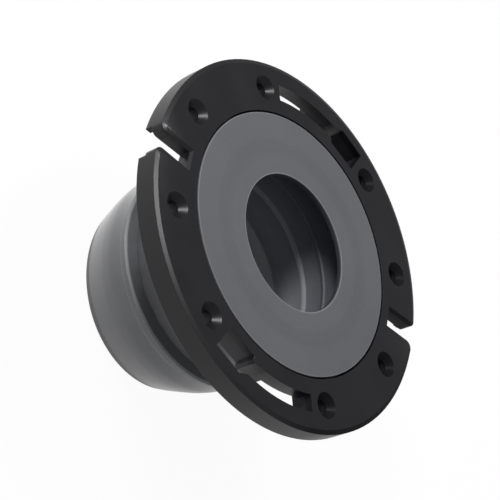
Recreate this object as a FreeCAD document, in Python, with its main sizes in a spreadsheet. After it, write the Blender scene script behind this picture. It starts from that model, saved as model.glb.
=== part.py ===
import FreeCAD, Part
import Sketcher
import math
import os

# Driving sizes in millimetres, angles in degrees. Radii follow from the ring's radius step by step.
sizes = {
    # whole part
    "part_height": 92.5,
    # rigid ring: a flat plate with an outer skirt, an inner rim and a ledge
    "ring_radius": 89.0,
    "ring_width": 25.2,
    "ring_depth": 11.0,
    "plate_thick": 6.9,
    "skirt_wall": 3.0,
    "rim_wall": 3.9,
    "front_chamfer": 1.25,
    "seat_depth": 5.0,
    "ledge_thick": 3.0,
    "ledge_reach": 8.8,
    # countersunk screw holes and the solid blocks they pass through
    "screw_inset": 13.25,
    "screw_hole": 6.4,
    "screw_head": 12.4,
    "countersink_angle": 90.0,
    "screw_near": 19.91,
    "screw_far": 30.2,
    "block_half_angle": 7.7,
    # open slots on the X axis
    "slot_half_width": 4.35,
    "slot_length": 18.9,
    "mouth_radius": 3.5,
    "notch_half_width": 8.0,
    # curved keyhole slots
    "key_axis": 87.49,
    "key_inset": 9.5,
    "key_width": 8.05,
    "pocket_inset": 6.45,
    "pocket_width": 13.1,
    "pocket_span": 14.35,
    "step_turn": 3.3,
    # nose on the inner wall where the pocket narrows into the slot
    "nose_foot": 1.45,
    "nose_reach": 2.65,
    "nose_turn": 1.2,
    "nose_tail_turn": 3.6,
    # solid block round the pocket, which ends under the narrow slot
    "block_inner_turn": 10.2,
    "block_outer_turn": 11.4,
    # flexible body: top flange, groove and retaining bead
    "seat_gap": 1.1,
    "face_bevel": 0.9,
    "ledge_gap": 0.4,
    "groove_play": 0.1,
    "bead_reach": 2.6,
    "bead_height": 1.6,
    "bead_taper": 5.0,
    # flexible body: entry hole, web and neck
    "face_width": 29.8,
    "lip_thick": 2.6,
    "web_thick": 5.0,
    "web_corner_width": 3.5,
    "web_corner_height": 4.5,
    "neck_step": 5.3,
    "neck_wall": 2.3,
    "neck_end": 52.4,
    "upper_ridge_depth": 22.6,
    "upper_ridge_half": 0.9,
    "lower_ridge_depth": 35.5,
    "lower_ridge_half": 1.5,
    "ridge_height": 0.8,
    # flexible body: sealing band with its raised front edge
    "shoulder_height": 2.8,
    "band_edge_reach": 5.0,
    "band_edge_height": 2.0,
    "band_step": 0.7,
    "band_reach": 4.4,
    "band_height": 8.6,
    "band_wall": 4.1,
    "band_inner_lead": 2.4,
    "band_inner_taper": 7.0,
    "band_inner_height": 9.0,
    # flexible body: heel of the band, waist and tapered tail
    "heel_height": 3.5,
    "heel_step": 0.6,
    "waist_height": 8.0,
    "waist_step": 4.7,
    "tail_step": 8.0,
    "tail_wall": 2.5,
    "tail_bevel_width": 1.6,
    "tail_bevel_height": 2.2,
    # cutters reach this far past what they cut, and pads this far into their neighbours
    "cut_margin": 2.0,
    "wall_overlap": 0.5,
}

# Radii from the rim inwards, as sums of the driving sizes
bore = "ring_radius - ring_width"
ledge = bore + " - ledge_reach"
screw_circle = "ring_radius - screw_inset"
slot_end = "ring_radius - slot_length"
key_outer = "ring_radius - key_inset"
key_inner = key_outer + " - key_width"
pocket_outer = "ring_radius - pocket_inset"
pocket_inner = pocket_outer + " - pocket_width"
flange = bore + " - seat_gap"
hole = flange + " - face_width"
groove = ledge + " - ledge_gap"
neck = groove + " - neck_step"
neck_inside = neck + " - neck_wall"
band = neck + " + band_reach"
tail = band + " - tail_step"

# Angles along a keyhole slot, from the wall of one screw block to the wall of the next
pocket_start = "key_axis - screw_far + block_half_angle"
pocket_end = pocket_start + " + pocket_span"
key_end = "key_axis + screw_far - block_half_angle"

# Heights from the front face down
face = "part_height"
ring_back = face + " - ring_depth"
plate_back = face + " - plate_thick"
seat = face + " - seat_depth"
ledge_back = seat + " - ledge_thick"
neck_foot = face + " - neck_end"
ground = ""


def fill_sheet(document):
    """Puts every driving size in the spreadsheet under its own name."""
    sheet = document.addObject("Spreadsheet::Sheet", "Sizes")
    for row, (name, value) in enumerate(sizes.items(), start=1):
        sheet.set("A%d" % row, name)
        sheet.set("B%d" % row, str(value))
        sheet.setAlias("B%d" % row, name)
    document.recompute()
    return sheet


def total(words):
    """Reads a sum such as "part_height - ring_depth" as a sheet expression and as a number.

    An empty sum is zero.
    """
    expression = ""
    value = 0.0
    sign = 1.0
    for word in words.split():
        if word in "+-":
            sign = -1.0 if word == "-" else 1.0
            continue
        expression += (" - " if sign < 0 else " + ") + "Sizes." + word
        value += sign * sizes[word]
        sign = 1.0
    return "0" + expression, value


def point(across, along):
    """A corner from two sums: its place across and along the sketch."""
    return total(across), total(along)


def polar(radius, angle):
    """A corner on a circle about the part's axis."""
    radius_text, radius_value = total(radius)
    angle_text, angle_value = total(angle)
    turn = math.radians(angle_value)
    across = ("(%s) * cos(%s)" % (radius_text, angle_text), radius_value * math.cos(turn))
    along = ("(%s) * sin(%s)" % (radius_text, angle_text), radius_value * math.sin(turn))
    return across, along


def place(corner):
    return FreeCAD.Vector(corner[0][1], corner[1][1], 0)


def new_sketch(body, name, plane, height=None):
    """A sketch on one of the body's own origin planes, raised to a named height."""
    sketch = body.newObject("Sketcher::SketchObject", name)
    support = [face for face in body.Origin.OriginFeatures if face.Role == plane]
    sketch.AttachmentSupport = [(support[0], "")]
    sketch.MapMode = "FlatFace"
    if height:
        sketch.setExpression("AttachmentOffset.Base.z", total(height)[0])
    return sketch


def bind(sketch, kind, arguments, size):
    """Adds one dimension to the sketch and ties it to the sheet."""
    index = sketch.addConstraint(Sketcher.Constraint(kind, *arguments, size[1]))
    sketch.setExpression("Constraints[%d]" % index, size[0])


def arc_between(start, end):
    """An arc about the part's axis; true when it runs from start to end counterclockwise."""
    first = math.atan2(start.y, start.x)
    last = math.atan2(end.y, end.x)
    forward = (last - first) % (2 * math.pi) < math.pi
    low, high = (first, last) if forward else (last, first)
    circle = Part.Circle(FreeCAD.Vector(0, 0, 0), FreeCAD.Vector(0, 0, 1), start.Length)
    return Part.ArcOfCircle(circle, low, high), forward


def draw_outline(sketch, corners, arcs=()):
    """A closed outline through the corners; the edges listed in arcs are arcs about the axis."""
    starts = []
    ends = []
    for number, corner in enumerate(corners):
        here = place(corner)
        there = place(corners[(number + 1) % len(corners)])
        forward = True
        if number in arcs:
            curve, forward = arc_between(here, there)
            edge = sketch.addGeometry(curve)
            sketch.addConstraint(Sketcher.Constraint("PointOnObject", edge, 3, -1))
        else:
            edge = sketch.addGeometry(Part.LineSegment(here, there))
        starts.append((edge, 1 if forward else 2))
        ends.append((edge, 2 if forward else 1))
    for number, corner in enumerate(corners):
        sketch.addConstraint(Sketcher.Constraint("Coincident", *ends[number - 1], *starts[number]))
        bind(sketch, "DistanceX", (-1, 1, *starts[number]), corner[0])
        bind(sketch, "DistanceY", (-1, 1, *starts[number]), corner[1])


def revolve(body, name, sketch):
    turned = body.newObject("PartDesign::Revolution", name)
    turned.Profile = sketch
    turned.ReferenceAxis = (sketch, ["V_Axis"])
    turned.Angle = 360
    body.Document.recompute()
    return turned


def cut_pocket(body, name, sketch, depth=None):
    """Cuts downwards from the sketch, right through unless a depth is given."""
    pocket = body.newObject("PartDesign::Pocket", name)
    pocket.Profile = sketch
    if depth:
        pocket.setExpression("Length", total(depth)[0])
    else:
        pocket.Type = "ThroughAll"
    body.Document.recompute()
    return pocket


# Rigid ring

def ring_section():
    return [
        point(bore, face),
        point("ring_radius", face),
        point("ring_radius", ring_back),
        point("ring_radius - skirt_wall", ring_back),
        point("ring_radius - skirt_wall", plate_back),
        point(bore + " + rim_wall", plate_back),
        point(bore + " + rim_wall", ring_back),
        point(bore, ring_back),
        point(bore, ledge_back),
        point(ledge, ledge_back),
        point(ledge, seat),
        point(bore, seat),
    ]


screw_angles = (
    "screw_near",
    "- screw_near",
    "key_axis - screw_far",
    "key_axis + screw_far",
)


# Blocks reach from the ring's inner rim to its outer skirt
block_inner = bore + " + rim_wall - wall_overlap"
block_outer = "ring_radius - skirt_wall + wall_overlap"


def block_outline(first, inner_last, outer_last):
    """The outline of a solid block behind the plate, from its first angle to its last."""
    return [
        polar(block_inner, first),
        polar(block_outer, first),
        polar(block_outer, outer_last),
        polar(block_inner, inner_last),
    ]


def raise_blocks(ring, name, outlines):
    """Fills the ring from its back edge up into the plate, within each outline."""
    sketch = new_sketch(ring, name + "_sketch", "XY_Plane", ring_back)
    for outline in outlines:
        draw_outline(sketch, outline, arcs=(1, 3))
    blocks = ring.newObject("PartDesign::Pad", name)
    blocks.Profile = sketch
    blocks.setExpression("Length", total("ring_depth - plate_thick + wall_overlap")[0])
    ring.Document.recompute()
    return blocks


def add_screw_blocks(ring):
    outlines = []
    for angle in screw_angles:
        last = angle + " + block_half_angle"
        outlines.append(block_outline(angle + " - block_half_angle", last, last))
    return raise_blocks(ring, "screw_blocks", outlines)


def add_pocket_block(ring):
    """A block round the pocket, which runs on a little way under the narrow slot."""
    inner_last = pocket_end + " + block_inner_turn"
    outer_last = pocket_end + " + block_outer_turn"
    outline = block_outline("key_axis - screw_far", inner_last, outer_last)
    return raise_blocks(ring, "pocket_block", [outline])


def cut_open_slot(ring):
    sketch = new_sketch(ring, "slot_sketch", "XY_Plane", face)
    outside = "ring_radius + cut_margin"
    draw_outline(sketch, [
        point(slot_end, "- slot_half_width"),
        point(outside, "- slot_half_width"),
        point(outside, "slot_half_width"),
        point(slot_end, "slot_half_width"),
    ])
    return cut_pocket(ring, "open_slot", sketch)


def cut_skirt_notch(ring):
    """The skirt stops short on both sides of an open slot, behind the plate."""
    sketch = new_sketch(ring, "notch_sketch", "XY_Plane", plate_back)
    inside = "ring_radius - skirt_wall - cut_margin"
    outside = "ring_radius + cut_margin"
    draw_outline(sketch, [
        point(inside, "- notch_half_width"),
        point(outside, "- notch_half_width"),
        point(outside, "notch_half_width"),
        point(inside, "notch_half_width"),
    ])
    return cut_pocket(ring, "skirt_notch", sketch, "ring_depth - plate_thick + cut_margin")


def cut_keyhole(ring):
    """A narrow curved slot that opens into a wide pocket, between two screw blocks."""
    sketch = new_sketch(ring, "keyhole_sketch", "XY_Plane", face)
    draw_outline(sketch, [
        polar(key_inner, key_end),
        polar(key_inner, pocket_end + " + nose_tail_turn"),
        polar(pocket_inner + " + nose_reach", pocket_end + " + nose_turn"),
        polar(pocket_inner + " + nose_foot", pocket_end),
        polar(pocket_inner, pocket_end),
        polar(pocket_inner, pocket_start),
        polar(pocket_outer, pocket_start),
        polar(pocket_outer, pocket_end + " - step_turn"),
        polar(key_outer, pocket_end),
        polar(key_outer, key_end),
    ], arcs=(0, 8))
    return cut_pocket(ring, "keyhole", sketch)


def drill_screw_holes(ring):
    sketch = new_sketch(ring, "screw_sketch", "XY_Plane", face)
    for angle in screw_angles:
        centre = polar(screw_circle, angle)
        circle = Part.Circle(place(centre), FreeCAD.Vector(0, 0, 1), sizes["screw_hole"] / 2)
        number = sketch.addGeometry(circle)
        bind(sketch, "DistanceX", (-1, 1, number, 3), centre[0])
        bind(sketch, "DistanceY", (-1, 1, number, 3), centre[1])
        bind(sketch, "Diameter", (number,), total("screw_hole"))
    ring.Document.recompute()
    holes = ring.newObject("PartDesign::Hole", "screw_holes")
    holes.Profile = sketch
    holes.DepthType = "ThroughAll"
    holes.HoleCutType = "Countersink"
    holes.HoleCutCustomValues = True
    holes.setExpression("Diameter", total("screw_hole")[0])
    holes.setExpression("HoleCutDiameter", total("screw_head")[0])
    holes.setExpression("HoleCutCountersinkAngle", total("countersink_angle")[0])
    ring.Document.recompute()
    return holes


def repeat_opposite(ring, features):
    """The ring's second half is its first half turned by half a turn."""
    pattern = ring.newObject("PartDesign::PolarPattern", "two_halves")
    pattern.Originals = features
    axis = [line for line in ring.Origin.OriginFeatures if line.Role == "Z_Axis"]
    pattern.Axis = (axis[0], [""])
    pattern.Angle = 360
    pattern.Occurrences = 2
    ring.Tip = pattern
    ring.Document.recompute()
    return pattern


def mouth_edges(feature):
    """The upright edges where the sides of the open slots meet the ring's outer wall."""
    names = []
    for number, edge in enumerate(feature.Shape.Edges, start=1):
        box = edge.BoundBox
        upright = box.XLength < 0.01 and box.YLength < 0.01
        on_side = abs(abs(box.Center.y) - sizes["slot_half_width"]) < 0.01
        on_wall = abs(math.hypot(box.Center.x, box.Center.y) - sizes["ring_radius"]) < 0.01
        if upright and on_side and on_wall:
            names.append("Edge%d" % number)
    return names


def front_outline_edges(feature):
    """The outer outline of the front face, round the rim and in and out of both open slots."""
    front = [side for side in feature.Shape.Faces if side.BoundBox.ZMin > sizes["part_height"] - 0.01]
    outline = front[0].OuterWire.Edges
    names = []
    for number, edge in enumerate(feature.Shape.Edges, start=1):
        if any(edge.isSame(other) for other in outline):
            names.append("Edge%d" % number)
    return names


def finish_front(ring):
    base = ring.Tip
    mouths = ring.newObject("PartDesign::Fillet", "slot_mouths")
    mouths.Base = (base, mouth_edges(base))
    mouths.setExpression("Radius", total("mouth_radius")[0])
    ring.Document.recompute()
    chamfer = ring.newObject("PartDesign::Chamfer", "front_chamfer")
    chamfer.Base = (mouths, front_outline_edges(mouths))
    chamfer.setExpression("Size", total("front_chamfer")[0])
    ring.Document.recompute()


def make_ring(document):
    ring = document.addObject("PartDesign::Body", "flange_ring")
    ring.Label = "flange_ring"
    section = new_sketch(ring, "ring_section", "XZ_Plane")
    draw_outline(section, ring_section())
    revolve(ring, "ring_blank", section)
    halves = [
        add_screw_blocks(ring),
        add_pocket_block(ring),
        cut_open_slot(ring),
        cut_skirt_notch(ring),
        cut_keyhole(ring),
        drill_screw_holes(ring),
    ]
    repeat_opposite(ring, halves)
    finish_front(ring)
    return ring


# Flexible body

def ridge(depth, half):
    """A low ridge round the inside of the neck: its foot, its crest and its head."""
    middle = face + " - " + depth
    return [
        point(neck_inside, middle + " - " + half),
        point(neck_inside + " - ridge_height", middle),
        point(neck_inside, middle + " + " + half),
    ]


def body_outside():
    """From the entry hole over the face, down the outside to the rim of the tail."""
    groove_back = ledge_back + " - groove_play"
    bead = groove + " + bead_reach"
    bead_end = groove_back + " - bead_height"
    edge_top = neck_foot + " - shoulder_height"
    edge_end = edge_top + " - band_edge_height"
    band_top = edge_end + " - band_step"
    band_end = band_top + " - band_height"
    heel_end = band_end + " - heel_height"
    return [
        point(hole, face),
        point(flange + " - face_bevel", face),
        point(flange, face + " - face_bevel"),
        point(flange, seat),
        point(groove, seat),
        point(groove, groove_back),
        point(bead, groove_back),
        point(bead, bead_end),
        point(neck, bead_end + " - bead_taper"),
        point(neck, neck_foot),
        point(neck + " + band_edge_reach", edge_top),
        point(neck + " + band_edge_reach", edge_end),
        point(band, band_top),
        point(band, band_end),
        point(band + " - heel_step", heel_end),
        point(band + " - waist_step", heel_end + " - waist_height"),
        point(tail, "tail_bevel_height"),
        point(tail + " - tail_bevel_width", ground),
    ]


def body_inside():
    """From the rim of the tail up the inside to the entry hole."""
    web_corner = face + " - web_thick"
    neck_inner_end = neck_foot + " + band_inner_lead"
    wide_start = neck_inner_end + " - band_inner_taper"
    wide_end = wide_start + " - band_inner_height"
    corners = [
        point(tail + " - tail_wall", ground),
        point(band + " - band_wall", wide_end),
        point(band + " - band_wall", wide_start),
        point(neck_inside, neck_inner_end),
    ]
    corners += ridge("lower_ridge_depth", "lower_ridge_half")
    corners += ridge("upper_ridge_depth", "upper_ridge_half")
    corners.append(point(neck_inside, web_corner + " - web_corner_height"))
    corners.append(point(neck_inside + " - web_corner_width", web_corner))
    corners.append(point(hole, face + " - lip_thick"))
    return corners


def make_body(document):
    body = document.addObject("PartDesign::Body", "flexible_body")
    body.Label = "flexible_body"
    section = new_sketch(body, "body_section", "XZ_Plane")
    draw_outline(section, body_outside() + body_inside())
    revolve(body, "body_turned", section)
    return body


def check(document, pieces):
    """Stops if a feature failed or a piece is not one valid solid."""
    for item in document.Objects:
        if "Invalid" in item.State or "Error" in item.State:
            raise RuntimeError("failed feature: " + item.Name)
    for piece in pieces:
        shape = piece.Shape
        if shape.isNull() or not shape.isValid() or len(shape.Solids) != 1:
            raise RuntimeError("bad shape: " + piece.Label)
        box = shape.BoundBox
        spans = (box.XLength, box.YLength, box.ZMin, box.ZMax)
        print(piece.Label, "volume", round(shape.Volume), "spans", [round(span, 2) for span in spans])


def main():
    document = FreeCAD.newDocument("pipe_flange")
    fill_sheet(document)
    pieces = [make_ring(document), make_body(document)]
    document.recompute()
    check(document, pieces)
    os.makedirs("parts", exist_ok=True)
    for piece in pieces:
        piece.Shape.exportStep("parts/" + piece.Label + ".step")


main()
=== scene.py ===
import bpy
import bmesh
import math
from mathutils import Matrix, Vector, noise


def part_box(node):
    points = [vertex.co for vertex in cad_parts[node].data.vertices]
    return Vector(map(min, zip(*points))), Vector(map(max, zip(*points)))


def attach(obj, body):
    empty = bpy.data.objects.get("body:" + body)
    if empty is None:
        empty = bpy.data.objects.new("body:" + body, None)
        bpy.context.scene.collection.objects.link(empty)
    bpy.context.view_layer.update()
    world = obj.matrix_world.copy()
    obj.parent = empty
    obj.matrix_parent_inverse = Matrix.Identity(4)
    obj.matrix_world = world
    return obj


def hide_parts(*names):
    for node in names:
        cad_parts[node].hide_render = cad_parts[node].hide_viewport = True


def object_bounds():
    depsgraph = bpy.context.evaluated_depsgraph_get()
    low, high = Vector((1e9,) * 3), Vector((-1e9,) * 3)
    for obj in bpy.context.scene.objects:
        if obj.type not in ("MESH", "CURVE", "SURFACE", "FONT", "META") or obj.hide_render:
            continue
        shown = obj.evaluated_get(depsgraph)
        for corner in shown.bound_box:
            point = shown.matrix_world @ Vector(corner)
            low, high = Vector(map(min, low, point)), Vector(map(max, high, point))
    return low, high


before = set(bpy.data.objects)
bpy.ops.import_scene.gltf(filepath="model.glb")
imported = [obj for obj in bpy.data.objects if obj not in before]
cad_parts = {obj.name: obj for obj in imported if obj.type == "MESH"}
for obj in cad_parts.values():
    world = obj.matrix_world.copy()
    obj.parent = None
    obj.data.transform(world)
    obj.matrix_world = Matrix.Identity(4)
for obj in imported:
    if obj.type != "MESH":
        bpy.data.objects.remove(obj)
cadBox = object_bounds()
mm = 0.001
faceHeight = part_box("flexible_body")[1].z  # the front face; depths are measured down from it
print("frame loaded")


# small helpers

def atDepth(depth):
    return faceHeight - depth * mm


def depthOf(vert):
    return (faceHeight - vert.co.z) / mm


def newPiece(name, shape, material):
    mesh = bpy.data.meshes.new(name)
    shape.to_mesh(mesh)
    shape.free()
    piece = bpy.data.objects.new(name, mesh)
    bpy.context.scene.collection.objects.link(piece)
    mesh.materials.append(material)
    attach(piece, "root")
    return piece


def smoothByAngle(mesh, degrees):
    mesh.shade_smooth()
    mesh.set_sharp_from_angle(angle=math.radians(degrees))


# nodes for the materials

noiseLow = 0.3         # most of a noise texture's values lie between these two
noiseHigh = 0.7
depthReach = 100       # mm below the face that the materials tell apart


def newMaterial(name):
    material = bpy.data.materials.new(name)
    material.use_nodes = True
    tree = material.node_tree
    return material, tree, tree.nodes["Principled BSDF"]


def addNoise(tree, place, scale, detail=3.0):
    texture = tree.nodes.new("ShaderNodeTexNoise")
    texture.inputs["Scale"].default_value = scale
    texture.inputs["Detail"].default_value = detail
    tree.links.new(place, texture.inputs["Vector"])
    return texture.outputs["Fac"]


def addRange(tree, source, low, high, toLow, toHigh):
    remap = tree.nodes.new("ShaderNodeMapRange")
    remap.inputs["From Min"].default_value = low
    remap.inputs["From Max"].default_value = high
    remap.inputs["To Min"].default_value = toLow
    remap.inputs["To Max"].default_value = toHigh
    tree.links.new(source, remap.inputs["Value"])
    return remap.outputs["Result"]


def addRamp(tree, source, dark, light):
    ramp = tree.nodes.new("ShaderNodeValToRGB")
    first, last = ramp.color_ramp.elements
    first.color = (*dark, 1)
    last.color = (*light, 1)
    first.position = noiseLow
    last.position = noiseHigh
    tree.links.new(source, ramp.inputs["Fac"])
    return ramp.outputs["Color"]


def addBump(tree, height, look, shader):
    bump = tree.nodes.new("ShaderNodeBump")
    bump.inputs["Strength"].default_value = look["bump"]
    bump.inputs["Distance"].default_value = look["bumpHeight"] * mm
    tree.links.new(height, bump.inputs["Height"])
    tree.links.new(bump.outputs["Normal"], shader.inputs["Normal"])


def addRadius(tree, place):
    flat = tree.nodes.new("ShaderNodeVectorMath")
    flat.operation = "MULTIPLY"
    flat.inputs[1].default_value = (1, 1, 0)
    tree.links.new(place, flat.inputs[0])
    length = tree.nodes.new("ShaderNodeVectorMath")
    length.operation = "LENGTH"
    tree.links.new(flat.outputs["Vector"], length.inputs[0])
    return length.outputs["Value"]


def addMath(tree, operation, first, second):
    worked = tree.nodes.new("ShaderNodeMath")
    worked.operation = operation
    for socket, value in zip(worked.inputs, (first, second)):
        if isinstance(value, (int, float)):
            socket.default_value = value
        else:
            tree.links.new(value, socket)
    return worked.outputs["Value"]


def addAxis(tree, vector, axis):
    split = tree.nodes.new("ShaderNodeSeparateXYZ")
    tree.links.new(vector, split.inputs["Vector"])
    return split.outputs[axis]


def addBlend(tree, share, first, last):
    rest = addMath(tree, "SUBTRACT", 1.0, share)
    ofFirst = addMath(tree, "MULTIPLY", first, rest)
    return addMath(tree, "ADD", ofFirst, addMath(tree, "MULTIPLY", share, last))


def addZone(tree, source, low, high, edge):
    rise = addRange(tree, source, low - edge, low + edge, 0, 1)
    fall = addRange(tree, source, high - edge, high + edge, 1, 0)
    return addMath(tree, "MULTIPLY", rise, fall)


def colourSocket(sockets, name):
    return [socket for socket in sockets if socket.name == name and socket.type == "RGBA"][0]


def addTint(tree, colour, amount, tint):
    mix = tree.nodes.new("ShaderNodeMix")
    mix.data_type = "RGBA"
    mix.blend_type = "MULTIPLY"
    colourSocket(mix.inputs, "B").default_value = (*tint, 1)
    tree.links.new(amount, mix.inputs["Factor"])
    tree.links.new(colour, colourSocket(mix.inputs, "A"))
    return colourSocket(mix.outputs, "Result")


def addSizes(tree, place):
    height = addAxis(tree, place, "Z")
    depth = addRange(tree, height, atDepth(0), atDepth(depthReach), 0, depthReach)
    radius = addMath(tree, "DIVIDE", addRadius(tree, place), mm)
    return depth, radius


def addPlace(tree, depth, radius, place):
    deep = addZone(tree, depth, *place["depth"], place["edge"])
    wide = addZone(tree, radius, *place["radius"], place["edge"])
    return addMath(tree, "MULTIPLY", deep, wide)


# black plastic of the ring

ringFinish = {
    "dark": (0.0078, 0.0078, 0.0093),
    "light": (0.0100, 0.0100, 0.0120),
    "specular": 0.30,
    "shadeSpecular": 0.06,        # painted shade: a lower specular level on the outer wall at the -X side, dimming its reflection there
    "shadeAcross": (-0.03, 0.0),  # where along X it passes into the other, m
    "wallRough": 0.32,
    "faceRough": 0.20,
    "roughSpread": 0.05,
    "upward": (0.96, 0.99),      # a face counts as level from here on, by its normal
    "grain": 1400.0,
    "mottle": 45.0,
    "mottleDetail": 4.0,
    "bump": 0.10,
    "bumpHeight": 0.2,           # mm
    # painted light: the floors of the pockets are made paler, as if lit by light bouncing inside
    # them
    "pocket": {"depth": (6.5, 12.0), "radius": (64.5, 86.0), "edge": 0.5},
    "pocketPaintedLight": (3.0, 3.0, 3.2),
    "opening": {"depth": (3.6, 12.0), "radius": (64.5, 83.0), "edge": 0.5},
    "openingPaintedLight": (2.6, 2.6, 2.7),  # painted light on the walls of slots and holes
}


def makeRingPlastic():
    look = ringFinish
    material, tree, shader = newMaterial("blackPlastic")
    place = tree.nodes.new("ShaderNodeTexCoord").outputs["Object"]
    normal = tree.nodes.new("ShaderNodeNewGeometry").outputs["Normal"]
    grain = addNoise(tree, place, look["grain"])
    mottle = addNoise(tree, place, look["mottle"], look["mottleDetail"])
    depth, radius = addSizes(tree, place)
    facesUp = addRange(tree, addAxis(tree, normal, "Z"), *look["upward"], 0, 1)
    facesAside = addMath(tree, "SUBTRACT", 1.0, facesUp)

    inPocket = addPlace(tree, depth, radius, look["pocket"])
    onPocketFloor = addMath(tree, "MULTIPLY", inPocket, facesUp)
    inOpening = addPlace(tree, depth, radius, look["opening"])
    onOpeningWall = addMath(tree, "MULTIPLY", inOpening, facesAside)
    colour = addRamp(tree, mottle, look["dark"], look["light"])
    # painted light on the pocket floors
    colour = addTint(tree, colour, onPocketFloor, look["pocketPaintedLight"])
    # painted light on the walls of slots and holes
    colour = addTint(tree, colour, onOpeningWall, look["openingPaintedLight"])
    tree.links.new(colour, shader.inputs["Base Color"])

    # painted shade: the outer wall's reflection is dimmed towards -X
    across = addAxis(tree, place, "X")
    shadeShine, bright = look["shadeSpecular"], look["specular"]
    wallShine = addRange(tree, across, *look["shadeAcross"], shadeShine, bright)
    shine = addBlend(tree, facesUp, wallShine, bright)
    tree.links.new(shine, shader.inputs["Specular IOR Level"])

    rough = addRange(tree, facesUp, 0, 1, look["wallRough"], look["faceRough"])
    spread = addRange(tree, mottle, noiseLow, noiseHigh, 0, look["roughSpread"])
    tree.links.new(addMath(tree, "ADD", rough, spread), shader.inputs["Roughness"])
    addBump(tree, grain, look, shader)
    return material


# grey plastic of the soft body; depths and radii in mm

softFinish = {
    "dark": (0.100, 0.102, 0.109),
    "light": (0.112, 0.114, 0.122),
    "specular": 0.30,
    "neckRough": 0.34,
    "faceRough": 0.60,
    "insideRough": 0.48,         # added to the neck's, inside it
    "roughSpread": 0.08,
    "grain": 1500.0,
    "speckle": (0.35, 0.65),     # the part of the grain that darkens the colour
    "speckleTint": (0.90, 0.90, 0.91),
    "mottle": 30.0,
    "mottleDetail": 4.0,
    "bump": 0.15,
    "bumpHeight": 0.2,
    "faceEnds": (0.5, 2.0),      # depths between which the face passes into the walls
    "sinkShade": (42.0, 50.0),        # radii of a slightly darker ring on the face, painted shade standing for a shallow sink
    "sinkShadeEdge": 1.5,
    "sinkShadeTint": (0.93, 0.93, 0.94),
    "ripple": 78.0,              # rings about 4 mm apart
    "rippleShare": 0.5,
    "rippleDistortion": 0.8,
    "rippleDetail": 0.4,
    "insideWall": (48.4, 48.9),  # radii between which the inner wall passes into the outer one
    "insideDepth": (3.0, 77.0),
    "insideEdge": 1.0,
    # painted shade: the inner walls are made darker and bluer
    "insideShadeTint": (0.68, 0.72, 0.81),
    "deepFrom": (15.0, 45.0),    # depths over which painted light makes the inside paler
    "deepPaintedLight": (3.3, 3.2, 2.9),
    "rimFrom": (86.2, 87.4),
    # painted shade on the rounded rim of the tail
    "rimShadeTint": (0.60, 0.60, 0.62),
    "tailFrom": (54.0, 54.6),
    "tailCoat": 1.0,
    "shadeCoat": 0.4,             # thinner coat at the +Y side: painted shade over the tail's reflection there
    "shadeAcross": (-0.02, 0.03),  # where along Y the one passes into the other, m
    "coatRough": 0.14,
    # edges and ridges that look paler or darker than the rest; those marked below are painted
    # highlights and painted shade
    "lines": [
        {"depth": (-1.0, 1.0), "radius": (33.4, 62.6), "edge": 0.40, "tint": (0.88, 0.88, 0.88)},
        # painted highlight along the shoulder's crest
        {"depth": (54.2, 54.9), "radius": (51.0, 60.0), "edge": 0.15, "tint": (3.0, 3.0, 2.9)},
        # painted highlight along the crest behind it
        {"depth": (58.1, 58.6), "radius": (51.0, 60.0), "edge": 0.15, "tint": (2.0, 2.0, 1.95)},
        # painted shade in the crease at the foot of the neck
        {"depth": (51.5, 52.1), "radius": (48.5, 51.0), "edge": 0.15, "tint": (0.50, 0.50, 0.50)},
        # painted shade on the neck under the ring
        {"depth": (10.0, 51.2), "radius": (48.5, 62.0), "edge": 0.30, "tint": (0.74, 0.74, 0.75)},
        # painted highlight on an inner ridge
        {"depth": (34.0, 37.2), "radius": (40.0, 47.6), "edge": 0.25, "tint": (1.8, 1.8, 1.74)},
        # painted highlight on the second inner ridge
        {"depth": (21.9, 22.5), "radius": (40.0, 47.6), "edge": 0.20, "tint": (1.7, 1.67, 1.62)},
        # painted highlight on the edge of the hole's lip
        {"depth": (-1.0, 0.4), "radius": (32.0, 33.5), "edge": 0.15, "tint": (1.5, 1.5, 1.5)},
        # painted shade on the wall inside the lip
        {"depth": (0.8, 4.0), "radius": (32.0, 33.4), "edge": 0.20, "tint": (0.45, 0.45, 0.48)},
        # painted highlight on the face's outer edge
        {"depth": (-1.0, 0.6), "radius": (62.5, 64.0), "edge": 0.15, "tint": (1.6, 1.6, 1.6)},
    ],
}


def addRipples(tree, place):
    look = softFinish
    waves = tree.nodes.new("ShaderNodeTexWave")
    waves.wave_type = "RINGS"
    waves.rings_direction = "Z"
    waves.inputs["Scale"].default_value = look["ripple"]
    waves.inputs["Distortion"].default_value = look["rippleDistortion"]
    waves.inputs["Detail Scale"].default_value = look["rippleDetail"]
    tree.links.new(place, waves.inputs["Vector"])
    return waves.outputs["Fac"]


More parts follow.
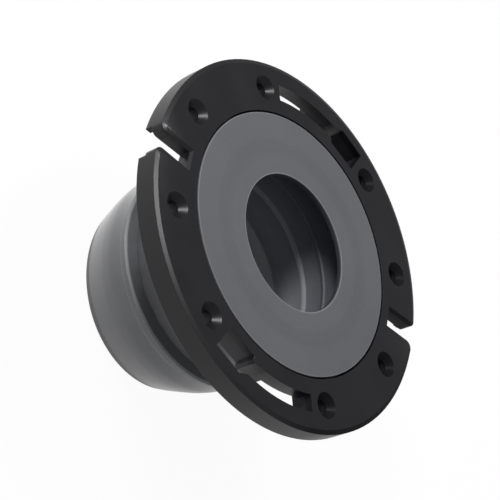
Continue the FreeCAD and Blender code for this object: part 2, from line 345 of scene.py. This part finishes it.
def makeSoftPlastic():
    look = softFinish
    material, tree, shader = newMaterial("greySoftPlastic")
    place = tree.nodes.new("ShaderNodeTexCoord").outputs["Object"]
    depth, radius = addSizes(tree, place)
    grain = addNoise(tree, place, look["grain"])
    mottle = addNoise(tree, place, look["mottle"], look["mottleDetail"])

    onFace = addRange(tree, depth, *look["faceEnds"], 1, 0)
    sinkShade = addMath(tree, "MULTIPLY", addZone(tree, radius, *look["sinkShade"], look["sinkShadeEdge"]), onFace)
    speckle = addRange(tree, grain, *look["speckle"], 0, 1)
    atInnerWall = addRange(tree, radius, *look["insideWall"], 1, 0)
    atInnerDepth = addZone(tree, depth, *look["insideDepth"], look["insideEdge"])
    inside = addMath(tree, "MULTIPLY", atInnerWall, atInnerDepth)
    deep = addMath(tree, "MULTIPLY", inside, addRange(tree, depth, *look["deepFrom"], 0, 1))
    onRim = addRange(tree, depth, *look["rimFrom"], 0, 1)
    beforeRim = addMath(tree, "SUBTRACT", 1.0, onRim)
    onTail = addMath(tree, "MULTIPLY", addRange(tree, depth, *look["tailFrom"], 0, 1), beforeRim)

    colour = addRamp(tree, mottle, look["dark"], look["light"])
    # painted shade of a shallow sink on the face
    colour = addTint(tree, colour, sinkShade, look["sinkShadeTint"])
    colour = addTint(tree, colour, speckle, look["speckleTint"])
    # painted shade on the inner walls
    colour = addTint(tree, colour, inside, look["insideShadeTint"])
    # painted light deep inside the body
    colour = addTint(tree, colour, deep, look["deepPaintedLight"])
    # painted shade on the tail's rim
    colour = addTint(tree, colour, onRim, look["rimShadeTint"])
    # the listed lines, most of them painted highlights and painted shade
    for line in look["lines"]:
        colour = addTint(tree, colour, addPlace(tree, depth, radius, line), line["tint"])
    tree.links.new(colour, shader.inputs["Base Color"])
    shader.inputs["Specular IOR Level"].default_value = look["specular"]

    rough = addRange(tree, onFace, 0, 1, look["neckRough"], look["faceRough"])
    rough = addMath(tree, "ADD", rough, addMath(tree, "MULTIPLY", inside, look["insideRough"]))
    spread = addRange(tree, mottle, noiseLow, noiseHigh, 0, look["roughSpread"])
    tree.links.new(addMath(tree, "ADD", rough, spread), shader.inputs["Roughness"])

    # painted shade: the coat thins towards +Y, dimming the tail's reflection there
    across = addAxis(tree, place, "Y")
    coat = addRange(tree, across, *look["shadeAcross"], look["tailCoat"], look["shadeCoat"])
    tree.links.new(addMath(tree, "MULTIPLY", onTail, coat), shader.inputs["Coat Weight"])
    shader.inputs["Coat Roughness"].default_value = look["coatRough"]

    ripples = addMath(tree, "MULTIPLY", addRipples(tree, place), onFace)
    relief = addMath(tree, "ADD", addMath(tree, "MULTIPLY", ripples, look["rippleShare"]), grain)
    addBump(tree, relief, look, shader)
    return material


# soft grey body: one section turned about the axis

softBody = {
    "turns": 240,          # steps round the axis
    "smoothAngle": 35,
    "arcStep": 12,         # degrees a rounded corner turns in one step
    "mostReach": 0.45,     # share of a side that a rounded corner may take
    # corners of the section: radius, depth below the front face, rounding, in mm
    "outside": [
        (32.9, 0.0, 0.25),
        (62.9, 0.0, 0.4),
        (62.9, 5.0, 0.3),
        (54.6, 5.0, 0.0),
        (54.6, 8.1, 0.0),
        (57.2, 8.1, 0.5),
        (57.2, 9.7, 0.8),
        (49.3, 14.7, 4.0),
        (49.3, 52.1, 0.3),
        (54.5, 54.8, 0.35),
        (54.3, 58.0, 0.3),
        (53.8, 58.5, 0.5),
        (53.7, 66.5, 20.0),
        (52.4, 73.0, 30.0),
        (50.4, 79.5, 30.0),
        (48.1, 86.5, 6.0),
        (46.5, 90.6, 2.0),
        (44.6, 92.5, 1.6),
    ],
    "inside": [
        (43.6, 92.5, 0.6),
        (48.4, 66.0, 12.0),
        (47.7, 57.0, 14.0),
        (47.0, 50.0, 14.0),
        (47.0, 37.1, 0.3),
        (46.1, 36.3, 0.3),
        (46.1, 34.9, 0.3),
        (47.0, 34.1, 0.3),
        (47.0, 24.6, 0.5),
        (46.0, 22.4, 0.3),
        (47.0, 21.8, 0.3),
        (47.0, 9.5, 3.0),
        (43.5, 5.0, 2.0),
        (32.9, 2.6, 0.35),
    ],
    # irregular edges left by the mould: where they are, how far they wander and how often
    "wanders": [
        {"depth": (51.2, 53.0), "radius": (48.5, 50.8), "reach": 0.65, "waves": 150.0},
        {"depth": (54.3, 55.3), "radius": (53.5, 55.0), "reach": 0.14, "waves": 170.0},
        {"depth": (-0.1, 1.3), "radius": (62.5, 63.7), "reach": 0.07, "waves": 230.0},
    ],
    "ovalStart": 52.0,     # depth where the tail begins to go oval
    "ovalEnd": 92.5,
    "oval": 0.047,         # narrower along X and wider along Y at the rim, as a share
    "leanX": 0.9,          # sideways shift of the rim, mm
    "leanY": -1.2,
}


def roundCorner(here, before, after, rounding):
    turn = math.pi - before.angle(after)
    most = softBody["mostReach"]
    reach = rounding * math.tan(turn / 2)
    reach = min(reach, most * before.length, most * after.length)
    start = here + before.normalized() * reach
    end = here + after.normalized() * reach
    steps = max(2, round(math.degrees(turn) / softBody["arcStep"]) + 1)
    points = []
    for step in range(steps + 1):
        t = step / steps
        points.append(start.lerp(here, t).lerp(here.lerp(end, t), t))
    return points


def roundSection(corners):
    points = []
    for number, (radius, depth, rounding) in enumerate(corners):
        here = Vector((radius, depth))
        if rounding == 0:
            points.append(here)
            continue
        before = Vector(corners[number - 1][:2]) - here
        after = Vector(corners[(number + 1) % len(corners)][:2]) - here
        points.extend(roundCorner(here, before, after, rounding))
    return points


def wanderEdges(shape):
    for vert in shape.verts:
        depth = depthOf(vert)
        radius = vert.co.xy.length / mm
        for edge in softBody["wanders"]:
            inDepth = edge["depth"][0] < depth < edge["depth"][1]
            inRadius = edge["radius"][0] < radius < edge["radius"][1]
            if inDepth and inRadius:
                spot = Vector((vert.co.x, vert.co.y, 0)) * edge["waves"]
                shift = edge["reach"] * noise.noise(spot)
                vert.co.xy *= 1 + shift / radius


def flexTail(shape):
    look = softBody
    for vert in shape.verts:
        share = (depthOf(vert) - look["ovalStart"]) / (look["ovalEnd"] - look["ovalStart"])
        if share <= 0:
            continue
        vert.co.x = vert.co.x * (1 - look["oval"] * share) + look["leanX"] * share * mm
        vert.co.y = vert.co.y * (1 + look["oval"] * share) + look["leanY"] * share * mm


def makeSoftBody(material):
    look = softBody
    shape = bmesh.new()
    points = roundSection(look["outside"] + look["inside"])
    verts = [shape.verts.new((point.x * mm, 0, atDepth(point.y))) for point in points]
    edges = [shape.edges.new((verts[i - 1], verts[i])) for i in range(len(verts))]
    bmesh.ops.spin(
        shape, geom=verts + edges, cent=(0, 0, 0), axis=(0, 0, 1), angle=2 * math.pi,
        steps=look["turns"], use_merge=True,
    )
    wanderEdges(shape)
    flexTail(shape)
    bmesh.ops.recalc_face_normals(shape, faces=shape.faces)
    piece = newPiece("softBody", shape, material)
    smoothByAngle(piece.data, look["smoothAngle"])
    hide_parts("flexible_body")


# ring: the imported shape, joined up, with its real chamfer and softened edges

ringShape = {
    "merge": 0.08,         # mm, joins the loose triangles
    "flat": 0.6,           # degrees, joins triangles that lie in one plane
    "packedChamfer": 1.25,
    "chamferWidth": 2.1,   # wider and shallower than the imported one
    "chamferDepth": 0.65,
    "chamferFrom": 83.0,   # mm from the axis, outside the screw holes
    "chamferSlope": (0.6, 0.8),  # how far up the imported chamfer's normal points
    "slack": 0.1,
    "edgeRound": 0.12,
    "roundSteps": 2,
    "roundFrom": 60,       # degrees between two faces
    "smoothAngle": 14,
}


def isChamfer(face):
    look = ringShape
    lowest = min(vert.co.z for vert in face.verts)
    inmost = min(vert.co.xy.length for vert in face.verts)
    atRim = inmost > look["chamferFrom"] * mm
    slanted = look["chamferSlope"][0] < face.normal.z < look["chamferSlope"][1]
    return atRim and slanted and lowest > atDepth(look["packedChamfer"] + look["slack"])


def cornerShift(normals):
    first, last = normals[0], normals[0]
    for one in normals:
        for other in normals:
            if one.dot(other) < first.dot(last):
                first, last = one, other
    return -(first + last) / (1 + first.dot(last))


def widenChamfer(shape, slopes):
    look = ringShape
    extra = (look["chamferWidth"] - look["packedChamfer"]) * mm
    moved = []
    for vert in {vert for face in slopes for vert in face.verts}:
        share = depthOf(vert) / look["packedChamfer"]
        normals = [face.normal.xy.normalized() for face in vert.link_faces if face in slopes]
        place = vert.co.xy + cornerShift(normals) * extra * (1 - share)
        height = atDepth(look["chamferDepth"] * share)
        moved.append((vert, Vector((place.x, place.y, height))))
    for vert, place in moved:
        vert.co = place
    shape.normal_update()


def makeRing(material):
    look = ringShape
    shape = bmesh.new()
    shape.from_mesh(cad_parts["flange_ring"].data)
    bmesh.ops.remove_doubles(shape, verts=shape.verts, dist=look["merge"] * mm)
    bmesh.ops.dissolve_limit(
        shape, angle_limit=math.radians(look["flat"]), verts=shape.verts, edges=shape.edges,
    )
    slopes = {face for face in shape.faces if isChamfer(face)}
    widenChamfer(shape, slopes)
    sharp = math.radians(look["roundFrom"])
    rims = [edge for edge in shape.edges if edge.calc_face_angle() > sharp]
    bmesh.ops.bevel(
        shape, geom=rims, offset=look["edgeRound"] * mm, offset_type="OFFSET",
        segments=look["roundSteps"], profile=0.5, affect="EDGES", clamp_overlap=False,
        material=-1,
    )
    piece = newPiece("flangeRing", shape, material)
    smoothByAngle(piece.data, look["smoothAngle"])
    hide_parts("flange_ring")


# camera, floor and light, in metres

photoView = {
    "eye": (0.41373, 0.41947, 0.51985),
    "forward": (-0.55252, -0.56852, -0.60952),
    "up": (0.50857, -0.80932, 0.29387),
    "lens": 115.46,
    "sensor": 36.0,
}

studio = {
    "floorReach": 40.0,
    "floorColour": (0.86, 0.86, 0.86, 1),
    "floorRough": 0.9,
    "glow": 0.95,               # how far the floor shows as white in the picture and in reflections
    "coveredGlow": 0.32,        # the same inside the tail
    "coveredTo": (0.040, 0.043),
    "around": (1, 1, 1, 1),
    "aroundStrength": 0.33,
}

lamps = {
    "overhead": {"place": (-0.05, -0.42, 1.0), "size": (0.25, 0.25), "watts": 6.0},
    "side": {"place": (0.88, -0.27, 0.83), "size": (0.34, 0.20), "watts": 8.6},
}


def makeCamera():
    camera = bpy.data.cameras.new("camera")
    camera.lens = photoView["lens"]
    camera.sensor_width = photoView["sensor"]
    holder = bpy.data.objects.new("camera", camera)
    back = -Vector(photoView["forward"]).normalized()
    up = Vector(photoView["up"]).normalized()
    right = up.cross(back).normalized()
    up = back.cross(right)
    turn = Matrix((right, up, back)).transposed()
    holder.matrix_world = Matrix.Translation(photoView["eye"]) @ turn.to_4x4()
    bpy.context.scene.collection.objects.link(holder)
    bpy.context.scene.camera = holder


def addSeen(tree):
    rays = tree.nodes.new("ShaderNodeLightPath").outputs
    seen = addMath(tree, "MAXIMUM", rays["Is Camera Ray"], rays["Is Transmission Ray"])
    return addMath(tree, "MAXIMUM", seen, rays["Is Glossy Ray"])


def makeFloorFinish():
    material, tree, shader = newMaterial("paleFloor")
    shader.inputs["Base Color"].default_value = studio["floorColour"]
    shader.inputs["Roughness"].default_value = studio["floorRough"]
    glow = tree.nodes.new("ShaderNodeEmission")
    place = tree.nodes.new("ShaderNodeTexCoord").outputs["Object"]
    middle = addRadius(tree, place)
    level = addRange(tree, middle, *studio["coveredTo"], studio["coveredGlow"], studio["glow"])
    blend = tree.nodes.new("ShaderNodeMixShader")
    tree.links.new(addMath(tree, "MULTIPLY", addSeen(tree), level), blend.inputs["Fac"])
    tree.links.new(shader.outputs["BSDF"], blend.inputs[1])
    tree.links.new(glow.outputs["Emission"], blend.inputs[2])
    surface = tree.nodes["Material Output"].inputs["Surface"]
    tree.links.new(blend.outputs["Shader"], surface)
    return material


def makeFloor():
    shape = bmesh.new()
    bmesh.ops.create_grid(shape, x_segments=1, y_segments=1, size=studio["floorReach"])
    mesh = bpy.data.meshes.new("floor")
    shape.to_mesh(mesh)
    shape.free()
    mesh.materials.append(makeFloorFinish())
    floor = bpy.data.objects.new("floor", mesh)
    bpy.context.scene.collection.objects.link(floor)


def makeWorld():
    world = bpy.data.worlds.new("studio")
    world.use_nodes = True
    background = world.node_tree.nodes["Background"]
    background.inputs["Color"].default_value = studio["around"]
    background.inputs["Strength"].default_value = studio["aroundStrength"]
    bpy.context.scene.world = world


def makeLamps():
    middle = (cadBox[0] + cadBox[1]) / 2
    for name, values in lamps.items():
        lamp = bpy.data.lights.new(name, "AREA")
        lamp.shape = "RECTANGLE"
        lamp.size, lamp.size_y = values["size"]
        lamp.energy = values["watts"]
        holder = bpy.data.objects.new(name, lamp)
        holder.location = values["place"]
        aim = middle - Vector(values["place"])
        holder.rotation_euler = aim.to_track_quat("-Z", "Y").to_euler()
        bpy.context.scene.collection.objects.link(holder)


ringPlastic = makeRingPlastic()
softPlastic = makeSoftPlastic()
print("materials made")
makeRing(ringPlastic)
print("ring made")
makeSoftBody(softPlastic)
print("soft body made")
makeCamera()
makeFloor()
makeWorld()
makeLamps()
print("camera, floor and light made")
bpy.context.scene.view_settings.view_transform = "Standard"
